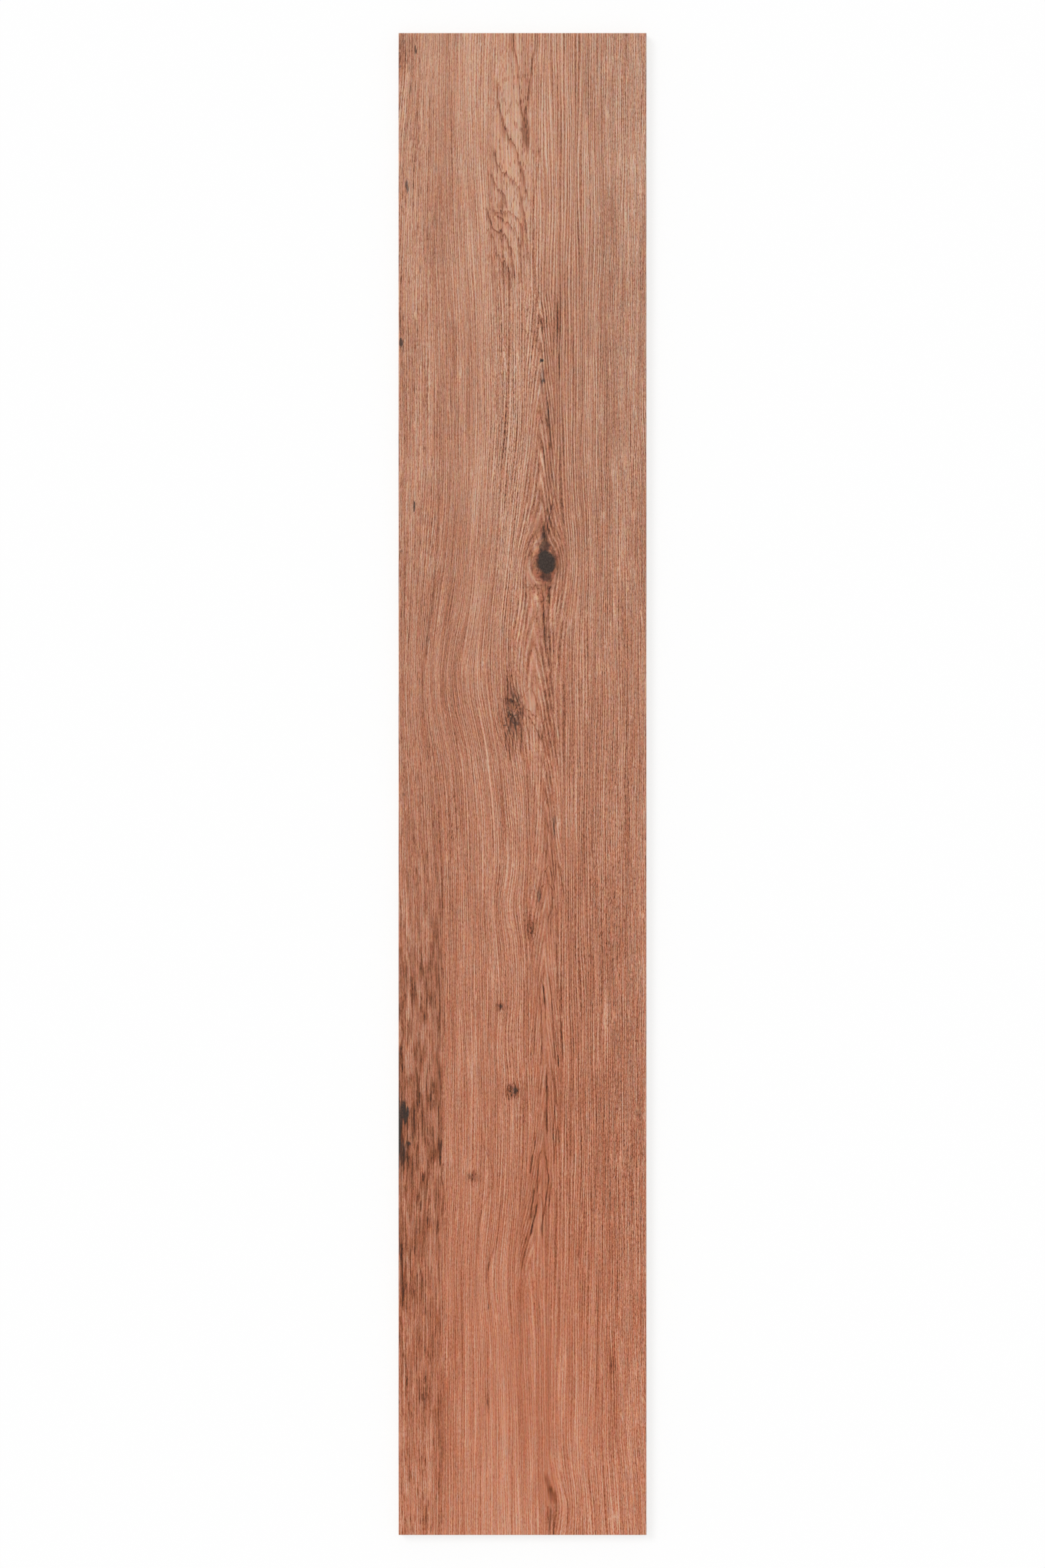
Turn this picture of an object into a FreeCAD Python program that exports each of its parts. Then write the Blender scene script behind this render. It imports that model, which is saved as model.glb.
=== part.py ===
# Wood look porcelain plank tile: one pressed, fired and rectified piece.
# The plank lies face up. X runs across it, Y along it, and Z up from the crests of
# the back ribs, which rest in the adhesive bed. The origin is the middle of the back.
import FreeCAD
import Part
import math
import os

# Driving dimensions, in millimetres and degrees.
plank_width = 198.0      # across the ground long edges
plank_length = 1200.0    # between the ground short edges
plank_thickness = 10.0   # from the rib crests to the printed face
face_bevel = 0.6         # micro bevel that the rectifying wheel leaves round the face
back_arris = 0.4         # smaller bevel ground round the back
rib_pitch = 23.75        # from one back rib to the next, both ways
rib_width = 3.0          # across a rib's flat crest
rib_height = 0.7         # depth of the pockets between the ribs
rib_draft = 50.0         # slope of a pocket's walls off the vertical, so the die lets go
least_border = 4.0       # the last rib's centre line stays this far inside a ground edge


def frustum(lower, upper, z_lower, z_upper):
    """Solid between two rectangles, each (size_x, size_y), centred on the Z axis."""
    wires = []
    for (size_x, size_y), z in ((lower, z_lower), (upper, z_upper)):
        x = size_x / 2
        y = size_y / 2
        corners = [(-x, -y), (x, -y), (x, y), (-x, y), (-x, -y)]
        wires.append(Part.makePolygon([FreeCAD.Vector(cx, cy, z) for cx, cy in corners]))
    return Part.makeLoft(wires, True, True)


def make_body():
    """The ground plank, before its back has ribs."""
    full = (plank_width, plank_length)
    face = (plank_width - 2 * face_bevel, plank_length - 2 * face_bevel)
    back = (plank_width - 2 * back_arris, plank_length - 2 * back_arris)
    face_edge = plank_thickness - face_bevel
    bottom = frustum(back, full, 0, back_arris)
    middle = frustum(full, full, back_arris, face_edge)
    top = frustum(full, face, face_edge, plank_thickness)
    return bottom.fuse([middle, top]).removeSplitter()


def make_pocket():
    """The hollow between four ribs, narrowing upwards by the die's draft."""
    mouth = rib_pitch - rib_width
    roof = mouth - 2 * rib_height * math.tan(math.radians(rib_draft))
    return frustum((mouth, mouth), (roof, roof), 0, rib_height)


def rib_spaces(size):
    """Centres of the pockets along one side, with a rib on the middle line."""
    each_side = int((size / 2 - least_border) // rib_pitch)
    return [(i + 0.5) * rib_pitch for i in range(-each_side, each_side)]


def make_back_relief():
    """All the pockets of the back, as one tool."""
    pocket = make_pocket()
    tools = []
    for x in rib_spaces(plank_width):
        for y in rib_spaces(plank_length):
            tools.append(pocket.translated(FreeCAD.Vector(x, y, 0)))
    return Part.makeCompound(tools)


plank_tile = make_body().cut(make_back_relief())
plank_tile = plank_tile.Solids[0]

os.makedirs("parts", exist_ok=True)
plank_tile.exportStep("parts/plank_tile.step")
print("valid", plank_tile.isValid(), "faces", len(plank_tile.Faces))
print("volume, litres", plank_tile.Volume / 1e6, "box", plank_tile.BoundBox)
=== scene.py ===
import bpy
import math
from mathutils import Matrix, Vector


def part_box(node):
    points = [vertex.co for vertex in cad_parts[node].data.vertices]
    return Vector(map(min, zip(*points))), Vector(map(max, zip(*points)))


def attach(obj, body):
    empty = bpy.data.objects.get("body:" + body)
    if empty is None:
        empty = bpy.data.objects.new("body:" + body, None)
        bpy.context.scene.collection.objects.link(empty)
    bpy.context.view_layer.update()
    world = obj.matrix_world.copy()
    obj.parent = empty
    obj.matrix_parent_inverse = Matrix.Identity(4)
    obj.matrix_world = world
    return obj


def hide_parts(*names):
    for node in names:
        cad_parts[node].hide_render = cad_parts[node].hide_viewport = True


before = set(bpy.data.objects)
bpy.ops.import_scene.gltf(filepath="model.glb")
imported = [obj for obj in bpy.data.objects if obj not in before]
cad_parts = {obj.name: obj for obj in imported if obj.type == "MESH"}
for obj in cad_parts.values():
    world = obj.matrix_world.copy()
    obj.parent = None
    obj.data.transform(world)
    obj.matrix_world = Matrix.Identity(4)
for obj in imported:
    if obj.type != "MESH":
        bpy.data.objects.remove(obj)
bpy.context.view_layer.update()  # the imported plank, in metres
print("frame loaded")


# node trees: a wire is one value, and sums on wires add Math nodes

class Wire:
    def __init__(self, tree, socket=None):
        self.tree = tree
        self.socket = socket

    def node(self, kind, settings, values, out=0):
        made = self.tree.nodes.new(kind if "Node" in kind else "ShaderNode" + kind)
        for name, setting in settings.items():
            if name == "stops":
                setStops(made.color_ramp, setting)
            elif name == "curve":
                setCurve(made.mapping, *setting)
            else:
                setattr(made, name, setting)
        for name, value in values.items():
            if isinstance(value, Wire):
                self.tree.links.new(value.socket, made.inputs[name])
            else:
                made.inputs[name].default_value = value
        return Wire(self.tree, made.outputs[out] if made.outputs else None)

    def other(self, out):  # another output of the same node
        return Wire(self.tree, self.socket.node.outputs[out])

    def math(self, operation, *values):
        return self.node("Math", {"operation": operation}, dict(enumerate(values)))

    def vector(self, operation, *values, out=0):
        return self.node("VectorMath", {"operation": operation}, dict(enumerate(values)), out)

    def plus(self, value, times):  # this and a multiple of another value, in one node
        return self.math("MULTIPLY_ADD", value, times, self)

    def __add__(self, other):
        return self.math("ADD", self, other)

    def __sub__(self, other):
        return self.math("SUBTRACT", self, other)

    def __rsub__(self, other):
        return self.math("SUBTRACT", other, self)

    def __mul__(self, other):
        return self.math("MULTIPLY", self, other)

    def __truediv__(self, other):
        return self.math("DIVIDE", self, other)

    def __abs__(self):
        return self.math("ABSOLUTE", self)

    __radd__ = __add__
    __rmul__ = __mul__


def setStops(ramp, stops):
    marks = ramp.elements
    marks[0].position, marks[0].color = stops[0]
    marks[1].position, marks[1].color = stops[-1]
    for at, shade in stops[1:-1]:
        marks.new(at).color = shade


def setCurve(mapping, points, onward):
    mapping.use_clip = False
    mapping.extend = "EXTRAPOLATED" if onward else "HORIZONTAL"
    line = mapping.curves[0].points
    line[0].location = points[0]
    line[1].location = points[-1]
    for point in points[1:-1]:
        line.new(*point)
    for point in line:
        point.handle_type = "AUTO_CLAMPED"
    mapping.update()


def paint(red, green, blue):  # a shade given in 0 to 255, for a colour socket
    def linear(level):
        level = level / 255
        return level / 12.92 if level <= 0.04045 else ((level + 0.055) / 1.055) ** 2.4
    return (linear(red), linear(green), linear(blue), 1.0)


def parts(place):  # a vector's x and y
    x = place.node("SeparateXYZ", {}, {0: place})
    return x, x.other("Y")


def soft(value, start, end):  # 0 at start, 1 at end, smooth between
    return value.node("MapRange", {"interpolation_type": "SMOOTHSTEP"},
                      {"Value": value, "From Min": start, "From Max": end})


def curve(value, points, onward=False):  # a curve drawn through (value, result) points
    return value.node("FloatCurve", {"curve": (points, onward)}, {"Value": value})


def noise(place, detail, dimensions="2D", out=0):  # 0 to 1, mostly about 0.5
    return place.node("TexNoise", {"noise_dimensions": dimensions},
                      {"Vector": place, "Scale": 1.0, "Detail": detail, "Roughness": 0.5}, out)


def local(place, at, half, lean=0.0):  # place from a mark's middle, in half sizes
    if lean:  # mm aside for each mm down the plank
        x, y = parts(place)
        place = x.node("CombineXYZ", {}, {0: x + (y - at[1]) * lean, 1: y})
    return place.vector("MULTIPLY_ADD", place, (1 / half[0], 1 / half[1], 0),
                        (-at[0] / half[0], -at[1] / half[1], 0))


def fading(near):  # 1 in the middle, fading like a bell
    return near.math("POWER", 1 / math.e, near.vector("DOT_PRODUCT", near, near, out=1))


def bell(place, at, reach, lean=0.0):
    return fading(local(place, at, reach, lean))


def spot(place, at, half, rim, lean=0.0):  # 1 inside, with a soft rim
    near = local(place, at, half, lean)
    return soft(near.vector("LENGTH", near, out=1), 1 + rim, 1 - rim)


def grouped(name, wires, build):  # nodes in a group of their own, because a small tree builds faster
    tree = bpy.data.node_groups.new(name, "ShaderNodeTree")
    for key, wire in wires.items():
        kind = "NodeSocketVector" if wire.socket.type == "VECTOR" else "NodeSocketFloat"
        tree.interface.new_socket(key, in_out="INPUT", socket_type=kind)
    tree.interface.new_socket("result", in_out="OUTPUT", socket_type="NodeSocketFloat")
    start = Wire(tree).node("NodeGroupInput", {}, {})
    result = build(*[start.other(key) for key in wires])
    result.node("NodeGroupOutput", {}, {0: result})
    return wire.node("ShaderNodeGroup", {"node_tree": tree}, wires)


def newMaterial(name):
    made = bpy.data.materials.new(name)
    made.use_nodes = True
    made.node_tree.nodes.clear()
    return made, Wire(made.node_tree)


def mixed(part, first, second):  # a colour between two, by part
    return part.node("Mix", {"data_type": "RGBA"}, {0: part, 6: first, 7: second}, 2)


def finished(made, colour, rough, gloss, bumps, strength, depth):  # closes a material with its shader
    dented = bumps.node("Bump", {}, {"Strength": strength, "Distance": depth, "Height": bumps})
    values = {"Base Color": colour, "Roughness": rough, "Specular IOR Level": gloss, "Normal": dented}
    shader = colour.node("BsdfPrincipled", {}, values)
    shader.node("OutputMaterial", {}, {"Surface": shader})
    return made


# the wood figure, in millimetres: x across from the middle, y along with the far end at 600

woodFigure = {
    # lines lean aside: middle, reach, push to the right
    "bends": [
        ((-45, 560), (34, 130), -9), ((-102, 600), (34, 110), 11), ((-22, 95), (42, 75), -13),
        ((-54, 78), (20, 42), -6), ((-8, 195), (26, 90), -7), ((33, 178), (16, 42), 5),
        ((5, 176), (9, 26), -4), ((-12, -97), (16, 24), -5), ((-15, -203), (13, 26), -3),
        ((-24, -392), (22, 42), -5), ((2, -395), (14, 55), -3.5), ((34, -577), (13, 28), 5),
        ((85, -640), (32, 110), 9), ((-72, 100), (22, 90), -6),
    ],
    # lines part round a knot: middle, reach, push each way
    "partings": [
        ((18.9, 177), (14, 17), 4), ((-8, 57), (11, 18), 4), ((6.5, -115), (6, 9), 1.0),
        ((-18, -178), (5, 6), 1.2), ((-8.5, -245), (7, 7), 2.0), ((-40, -315), (7, 7), 1.2),
        ((23, -566), (8, 20), 1.0),
    ],
    # (y, x) down the heart line, where the rings close in pointed arches
    "heart": [(-600, 9), (-400, 10), (-330, 14.5), (-250, 17), (-148, 16), (-92, 18.5), (-60, 20),
              (60, 19), (180, 18.5), (290, 15), (388, 13), (600, 12)],
    "archSlope": 11.5,  # an arch runs this far down for each mm to the side
    "archPitch": 2.05,
    "archTip": 2.0,  # the bluntness of its point
    "archWide": (14, 7),  # arches fade out over this distance from the heart line
    "archNear": (-430, -380),
    "archFar": (400, 385),
    # how many lines lie to the left of x
    "lineCount": [(-105, -4), (-40, 39.3), (10, 68.7), (18, 72.9), (52, 89.5), (105, 130)],
    "paleLines": 36,  # these change the grey level, of 255
    "darkLines": 37,
    "evening": 2.8,  # taken off, so that the fine grain keeps the mean level
    "evenRings": 9,  # regular lines right of the heart line, toward the far end
    # grey level of 255 along the plank, and what is added across it
    "levelAlong": [(-600, 140), (-480, 131), (-400, 129), (-250, 130), (-100, 132), (100, 135),
                   (300, 140), (450, 145), (600, 149)],
    "levelAcross": [(-99, -1), (-80, -2), (-62, -4), (-37, 5), (-12, 6), (12, 1), (37, -2), (62, -2),
                    (99, 3)],
    # contrast of the fine lines across the plank
    "lineContrast": [(-99, 1.02), (-78, 0.97), (-60, 0.92), (-35, 0.91), (-10, 0.98), (20, 1.0),
                     (60, 1.2), (99, 1.22)],
    # places where the fine lines are calmer, or livelier by a minus sign: middle, reach, share
    "calms": [
        ((20, -75), (8, 55), 0.5), ((18, -185), (7, 60), 0.55), ((18, -290), (8, 45), 0.4),
        ((12, -345), (9, 40), 0.5), ((14, 300), (6, 70), 0.25), ((-5, -490), (32, 120), 0.4),
        ((-8, 57), (8, 15), 0.6), ((18.9, 177), (10.5, 12.5), 0.92), ((8, 66), (5, 11), 0.8),
        ((8, 105), (8, 35), 0.4), ((20, -480), (4, 90), 0.3), ((90, -330), (22, 220), -0.28),
        ((-92, -330), (20, 160), -0.1), ((-30, -80), (30, 150), -0.12), ((11, 206), (4, 9), 0.6),
        ((6, 163), (4, 7), 0.6), ((22.6, -566), (6, 17), 0.8), ((-13, 280), (13, 125), -0.85),
        ((76, -520), (25, 90), 0.2), ((45, -470), (24, 110), 0.2), ((10, 370), (10, 60), -0.65),
    ],
    # the dark sapwood band down the left edge, by y
    "bandStrength": [(-600, 0.4), (-530, 0.52), (-430, 0.75), (-370, 0.88), (-280, 0.95), (-200, 1.0),
                     (-130, 0.8), (-70, 0.4), (-15, 0.1), (30, 0)],
    "bandLift": 3,  # between its strokes
    "leftLift": 4,  # between the dashes all down the left side
    # where slanting flecks lie: middle, reach
    "flecks": [
        ((72, -90), (20, 120)), ((75, -325), (20, 55)), ((-57, -35), (9, 45)),
    ],
    "flame": ((-9, 500), (17, 110), 0.5, -0.03),  # middle, half size, rim, lean
    "flameCalm": 0.6,  # by how much the fine lines fade in the flame
    "flameNear": 380,  # the y of its near end
    "armStrength": 1.4,  # of the arms below, and of the lines further on
    "lineStrength": 1.05,
    "nearEnd": -250,  # the grain is smoother and the print warmer from this y on
    # arms of the flame at the far end: points, side and width of the brown shade, drop in grey level
    "flameArms": [
        ([(-7, 604), (-6.3, 590), (-5.2, 582), (-3.6, 575), (-2.6, 564), (-1.6, 552), (-0.4, 538),
          (0.6, 531)], -1, 2.2, 34),
        ([(10, 604), (9.2, 588), (7.2, 579), (6.5, 569), (5.2, 560), (4.2, 550), (2.6, 541),
          (1.2, 534)], 1, 3.0, 34),
        ([(-20.2, 566), (-19.5, 554), (-18.3, 542), (-16.5, 535), (-15, 529), (-12.5, 522), (-9, 515),
          (-6.5, 511), (-4.5, 506.5), (-2.8, 500), (-0.8, 492), (1, 486), (2.6, 478), (4.6, 469),
          (6.5, 465), (8.3, 463.5)], -1, 3.2, 34),
        ([(13.4, 510), (12.8, 500), (11.4, 490), (9.9, 483), (9.1, 473), (8.4, 464)], 1, 1.6, 22),
        ([(-22.6, 512), (-21, 500), (-19.3, 493.5), (-17, 490), (-13, 488), (-10.3, 485), (-7, 481.5),
          (-4, 477.5), (-1.6, 472.5), (0, 465), (1.4, 456), (3.5, 442), (5, 430),
          (5.6, 412)], -1, 3.4, 30),
        ([(-25, 490), (-22.5, 482), (-20, 476.5), (-16.5, 472.5), (-14.4, 470), (-13.2, 465.5),
          (-12.2, 460)], -1, 2.6, 32),
        ([(-23, 459.5), (-20, 457.8), (-14, 456.8), (-8, 456), (-5, 453), (-2.5, 450.5), (-1, 446.5),
          (0.1, 440), (0.7, 428)], -1, 3.4, 30),
        ([(-23.5, 460), (-20, 454.5), (-16, 451.5), (-12, 448.5), (-8, 445), (-5.2, 442), (-3.8, 436.5),
          (-1.6, 430.5), (-0.9, 422), (-0.8, 398)], -1, 2.6, 34),
        ([(-28.5, 462), (-26.2, 453), (-23.5, 446), (-20, 442.3), (-15.5, 440), (-12.2, 436),
          (-9.8, 429.5), (-8.2, 422), (-6.6, 412), (-5.4, 398)], -1, 2.8, 36),
        ([(-28, 444), (-25, 439.5), (-22.6, 435), (-21, 428), (-20, 420)], -1, 2.2, 22),
        ([(-20.5, 424), (-18, 421.3), (-15.5, 418), (-12.6, 415), (-10.8, 411.5), (-9.8, 405),
          (-9, 395)], -1, 4.0, 30), ([(-26, 424), (-23.6, 418), (-22.5, 411), (-21.8, 400)], -1, 1.6, 20),
    ],
    # brown patches with a clear rim: middle, half size, drop, lean
    "patches": [
        ((2.7, 522), (2.9, 14), 40, 0.04), ((4, 512), (1.8, 7), 14), ((-12.5, 518), (4.2, 9), 18, 0.45),
        ((20.9, -559.5), (2.3, 8), 28, 0.3), ((23.8, -568), (3.2, 7), 32, 0.2),
        ((-17, 462), (2, 3.5), 22), ((-13.5, 463), (1.2, 3), 14), ((-14, 411), (3.6, 7), 14),
    ],
    # soft brown shades: middle, reach, drop (a minus sign lifts), lean
    "shades": [
        ((-94, 584), (8, 17), 22), ((-11, 592), (4, 8), 12), ((-72, 470), (7, 45), 9),
        ((-66, 295), (4, 45), 9), ((28, 367), (2, 17), 19), ((29, 334), (1.5, 9), 12),
        ((18, 335), (5, 32), 14), ((21, 255), (3, 40), 14, -0.05), ((19, 200), (4.5, 15), 19, -0.15),
        ((18.9, 177), (9.6, 11.2), 34), ((18, 158), (5, 9), 17), ((17, 120), (5, 40), 7, 0.07),
        ((-8, 47), (8, 6), 12), ((-8, 57), (8, 14), 14), ((-5, 55), (2.4, 3.6), -18),
        ((22, 45), (3, 40), 10, 0.08), ((6, -114), (4, 7), 17), ((15, -92), (3, 14), 14),
        ((-18, -178), (3.5, 3.5), 22), ((-9, -245), (6, 6), 20), ((-12, -226), (3, 4), 14),
        ((-40, -314), (5, 4.5), 18), ((-66, -228), (2.5, 9), 26), ((-68, -353), (4, 7), 20),
        ((-78, -490), (6, 12), 18), ((0, -378), (3.2, 34), 9, -0.05), ((-3, -408), (3, 10), 12),
        ((10, -330), (4, 40), 6, -0.07), ((20, -478), (2.8, 75), 9), ((-52, -465), (1.6, 22), 10),
        ((72, -463), (2.2, 7), 26), ((72, -475), (9, 22), 7), ((23.5, -586), (5, 14), 18),
        ((52.5, 562), (1.4, 26), 16), ((-28, -492), (1.4, 8), 24), ((-75, -165), (9, 45), 8),
        ((-93, -275), (7, 40), 20), ((8, 64), (4.5, 8), -16), ((19, -95), (3.6, 8), -12),
        ((20.3, -185), (2.4, 28), -10), ((12.2, -195), (1.6, 22), -10), ((25.2, -115), (1.4, 16), -10),
        ((28, -22), (1.7, 28), -12), ((14, -346), (1.7, 15), -16), ((21.5, -46), (1.2, 12), -12),
        ((-60, -400), (14, 150), -11), ((-10, 520), (13, 80), -4), ((10, 470), (12, 60), -4),
        ((-12, 500), (13, 75), -6), ((37, 400), (14, 90), 5), ((12, 400), (11, 35), 5),
        ((12, -300), (9, 35), 5), ((76, 345), (24, 55), 5), ((76, -250), (24, 60), 5),
        ((40, -545), (13, 50), -6), ((-76, 250), (24, 50), -4), ((9, 177), (2.6, 12), 12),
        ((28.5, 178), (2.6, 10), 8), ((4.5, 153), (3.5, 4), 10), ((15, 256), (2, 14), -14),
        ((6, 172), (4, 12), -8), ((87, 505), (14, 90), -6), ((0, 450), (26, 45), -4),
        ((-37, 250), (13, 45), -5), ((46, 135), (26, 60), -6), ((-37, 50), (13, 45), 4),
        ((12, -350), (9, 45), 4), ((37, -450), (13, 130), -5),
    ],
    # drawn dark lines: (x, y) points from far to near, half width, drop
    "lines": [
        ([(-66, 240), (-68, 200), (-71.5, 150), (-75, 122), (-79, 92), (-80, 68)], 1.0, 20),
        ([(-76, 62), (-74, 45), (-72, 30), (-68, 0)], 0.6, 22),
        ([(-34, -268), (-32, -285), (-24, -308), (-23.5, -318), (-27, -328), (-33, -342),
          (-36, -368)], 0.6, 16),
        ([(-16, -328), (-18, -340), (-22, -370), (-27, -385), (-30, -400)], 1.3, 18),
        ([(-64.5, -236), (-65.5, -250), (-67, -265), (-66.8, -278)], 0.6, 24),
        ([(-64.8, -282), (-65.3, -294), (-66, -307)], 0.7, 50), ([(-63.8, -302), (-64, -311)], 0.5, 40),
        ([(-65.2, -312), (-63.6, -320), (-62.8, -328), (-64, -338), (-64.6, -347)], 0.8, 30),
        ([(-82, -246), (-82.2, -255)], 0.6, 40), ([(-71, -237), (-71.2, -248)], 0.6, 40),
        ([(-79.5, -310), (-79.4, -317)], 0.6, 46), ([(-81, -332), (-81.2, -343)], 0.6, 34),
        ([(-74.5, -327), (-74.4, -337)], 0.6, 34), ([(-63.8, -55), (-64.2, -85), (-64, -112)], 0.5, 16),
        ([(-27, -405), (-27.5, -470), (-27, -530)], 0.5, 14),
        ([(-2, -400), (-1.5, -440), (-1, -475)], 0.8, 14),
        ([(30, -545), (31.5, -555), (34, -566), (36.4, -578), (36.2, -588), (34.8, -603)], 0.6, 36),
        ([(20.5, -576), (20, -582), (21, -589)], 0.6, 30),
        ([(22.5, -576), (22.3, -590), (22.8, -603)], 0.6, 26),
        ([(25, -575), (24.6, -590), (25, -603)], 0.6, 24),
        ([(20, 223), (18.5, 212), (17.3, 205), (16.2, 196)], 0.45, 38),
        ([(25.4, 234), (23.5, 222), (22, 215), (20.5, 208), (19, 199)], 0.5, 42),
        ([(22.6, 213), (21.5, 204), (20, 196)], 0.4, 32),
        ([(18.6, 208), (18, 202), (17.4, 195)], 0.4, 30),
        ([(24.4, 222), (23.4, 212), (22.8, 203)], 0.35, 26),
        ([(25, 207), (25.8, 200), (24.5, 193)], 0.5, 28),
        ([(14.6, 161), (16, 152), (17, 146), (17, 132)], 0.45, 28),
        ([(18.2, 162), (18.6, 152), (18.4, 141)], 0.45, 30),
        ([(19, 136), (19.3, 126), (19.6, 113)], 0.45, 32),
        ([(21.6, 159), (21.3, 150), (22, 142)], 0.45, 32),
        ([(16.6, 140), (17.6, 124), (19, 100)], 0.45, 18),
        ([(21.2, 118), (22.4, 98), (23.6, 80), (24.6, 62)], 0.5, 22),
        ([(24.4, 66), (25.4, 45), (26.6, 24), (27, 6)], 0.5, 22),
        ([(20.4, 134), (20.8, 120), (21.6, 104)], 0.4, 16),
        ([(-65, 345), (-64, 330), (-62, 316)], 0.5, 18),
        ([(-97, -362), (-96.5, -385), (-95.5, -405), (-96, -425)], 1.0, 50),
        ([(-95, -452), (-93, -466), (-92, -484)], 0.9, 28),
        ([(7.5, 77), (10, 70), (11.6, 64), (12.6, 57), (12.8, 52)], 0.6, 30),
        ([(1.5, 60), (5, 58.6), (7, 56.3), (9, 54.3), (12.8, 52.5)], 0.6, 32),
        ([(2.5, 57), (5, 54), (7.5, 50), (9, 47), (11, 43.8), (12.8, 39.5), (15, 33)], 0.6, 32),
        ([(17.8, 53), (17, 45), (16, 39), (15, 33)], 0.7, 24),
        ([(7, 78), (3, 74), (0, 70), (-2, 67)], 0.5, 16),
        ([(-13.2, 69.2), (-11, 67.3), (-9, 66), (-6.8, 64.8)], 1.5, 26),
        ([(0, 65), (0.9, 58), (0.2, 52)], 0.8, 34), ([(-16.4, 61), (-16.8, 53), (-15.4, 46)], 0.6, 20),
        ([(-19.5, 59), (-19.3, 50), (-17.4, 44)], 0.6, 20),
        ([(-22.5, 53), (-21, 44), (-18, 37), (-15.4, 30)], 0.6, 20),
        ([(-14, 43), (-13.5, 36), (-12.8, 25)], 0.6, 42),
        ([(-10.5, 42), (-10.5, 30), (-10, 17)], 0.6, 36), ([(-7, 42), (-7.5, 33), (-8.5, 21)], 0.6, 30),
        ([(-4, 46), (-4.5, 36), (-6.5, 23)], 0.6, 30), ([(-0.5, 46), (-1, 36), (-1.8, 23)], 0.6, 34),
        ([(2, 51), (4.5, 42), (6, 34)], 0.5, 22), ([(-12.8, 93), (-12, 82), (-11.6, 72)], 0.6, 40),
        ([(-9, 89), (-9.5, 80), (-9, 71)], 0.5, 26), ([(-5.5, 91), (-5, 80), (-5.5, 71)], 0.5, 26),
        ([(-15.4, 88), (-14.8, 78), (-14.2, 70)], 0.5, 20),
        # scallops beside the great knot
        ([(7.5, 199.8), (6.5, 197.5), (5.6, 194)], 0.4, 22),
        ([(7.6, 199.8), (8.6, 197), (9, 193)], 0.35, 20),
        ([(10.2, 200.5), (9.3, 197.5), (9, 193)], 0.35, 20),
        ([(10.3, 200.5), (11.6, 197), (12.6, 190)], 0.4, 22),
        ([(0.5, 161), (2.5, 158.5), (4.2, 156)], 0.4, 26), ([(6, 159), (5, 157.6), (4.2, 156)], 0.4, 26),
        ([(6, 159), (7.2, 157), (8.2, 155)], 0.4, 26), ([(10.8, 160), (9.4, 157.5), (8.2, 155)], 0.4, 26),
        ([(8, 223), (9.4, 218.5), (10.4, 216.4)], 0.4, 24),
        ([(13.8, 220), (12, 217.5), (10.4, 216.4)], 0.4, 22),
        # arches of the heart, from the far end
        ([(14.5, 389), (13.6, 386), (12, 378), (11, 365), (10, 350)], 0.5, 24),
        ([(14.5, 390), (15.8, 381), (16.7, 372), (17.2, 360), (17.5, 348)], 0.5, 28),
        ([(27.4, 387), (28.2, 372), (28.4, 358)], 0.8, 30),
        ([(28.8, 345), (29.4, 335), (29.7, 325)], 0.6, 26),
        ([(20.7, 310), (20.8, 300), (20.7, 290), (21.2, 283), (22, 277), (22.4, 265)], 0.8, 50),
        ([(17.5, 306), (16.3, 301), (16, 292)], 0.4, 26),
        ([(17.6, 306), (19, 300), (19.4, 289)], 0.4, 26),
        ([(14.2, 293), (12.6, 285), (11.5, 275)], 0.4, 24),
        ([(14.4, 293), (16.5, 287), (18, 279)], 0.4, 24), ([(19.6, 375), (19.5, 364)], 0.5, 40),
        ([(15.9, 373), (15.8, 368), (16.3, 362)], 0.7, 50),
        ([(15.5, 276), (14, 270), (13.2, 256)], 0.4, 24),
        ([(15.6, 276), (16.8, 268), (17.4, 254)], 0.4, 24),
        ([(21.4, -31), (20.2, -38), (19.7, -47), (19.4, -58)], 0.4, 26),
        ([(21.6, -31), (22.8, -38), (23.5, -50), (24.2, -62), (25.2, -77)], 0.45, 30),
        ([(17.3, -50), (16.2, -55), (15.6, -64)], 0.4, 26),
        ([(17.4, -50), (18.5, -56), (18.8, -65)], 0.4, 26),
        ([(17.4, -68), (15.7, -71), (15, -76), (14.4, -82)], 0.45, 32),
        ([(17.6, -68), (19, -71), (19.6, -76)], 0.45, 38),
        ([(20.8, -65), (19.2, -68), (18, -70)], 0.45, 32),
        ([(20.8, -65), (22.5, -69), (23.6, -74), (24.6, -80), (25.6, -88)], 0.5, 36),
        ([(27.5, -61), (26.7, -64), (26.3, -70), (26, -79)], 0.45, 34),
        ([(27.6, -61), (29.2, -64), (30.1, -69), (31, -75), (32.4, -83), (33, -92)], 0.5, 34),
        ([(19.5, -79), (17, -80.3), (15.4, -82.5), (14.3, -88)], 0.45, 30),
        ([(19.8, -79), (22, -81), (24, -85), (25, -92)], 0.45, 32),
        ([(23.6, -86), (23.6, -95), (22.6, -100), (21, -106), (20, -114)], 0.45, 32),
        ([(25.2, -95), (24, -98), (23, -105), (22.5, -122)], 0.4, 30),
        ([(25.4, -95), (26.6, -98), (27.5, -106), (27.9, -124)], 0.5, 34),
        ([(18.5, -147), (16.8, -152), (16.5, -158), (17, -166), (18, -176), (18.6, -192)], 0.5, 42),
        ([(18.6, -147), (20.6, -151), (22, -158), (23, -168), (23.6, -180), (24.6, -196), (25.6, -210),
          (26.6, -226)], 0.55, 38), ([(14.5, -155), (13.5, -160), (13.2, -169)], 0.4, 30),
        ([(14.7, -155), (15.8, -159), (16.8, -164), (17.5, -177)], 0.45, 34),
        ([(11.8, -165.5), (10.5, -170), (10.2, -185), (9.5, -201), (9, -218)], 0.4, 26),
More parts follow.
